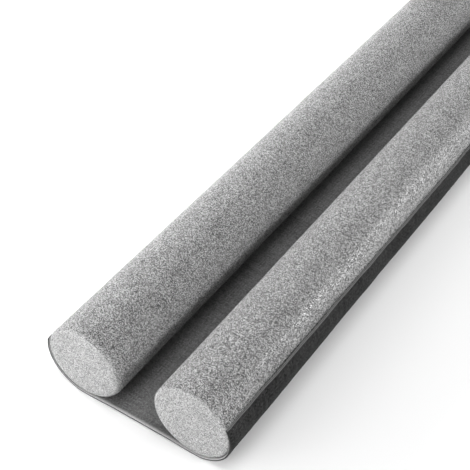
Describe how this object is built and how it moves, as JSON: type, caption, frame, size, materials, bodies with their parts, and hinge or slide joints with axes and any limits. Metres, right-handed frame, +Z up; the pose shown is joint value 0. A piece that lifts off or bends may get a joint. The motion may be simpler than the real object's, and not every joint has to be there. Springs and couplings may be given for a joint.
{
  "type": "draught excluder",
  "caption": "Under-door draught excluder: round grey foam rolls side by side in a dark cloth sheet that runs flat under the door and turns up along both outer sides.",
  "frame": {"origin": "on the floor, midway between the rolls and midway along them", "axes": "+Y along the rolls and the door, +X across the door towards one roll, +Z up"},
  "size_m": [0.1272, 0.9142, 0.0507],
  "materials": {
    "grey_foam": "speckled closed-cell foam",
    "charcoal_cloth": "fine plain weave, matt"
  },
  "bodies": {
    "root": {"foam_roll_left": "grey_foam", "foam_roll_right": "grey_foam", "base_sheet": "charcoal_cloth"}
  },
  "joints": []
}
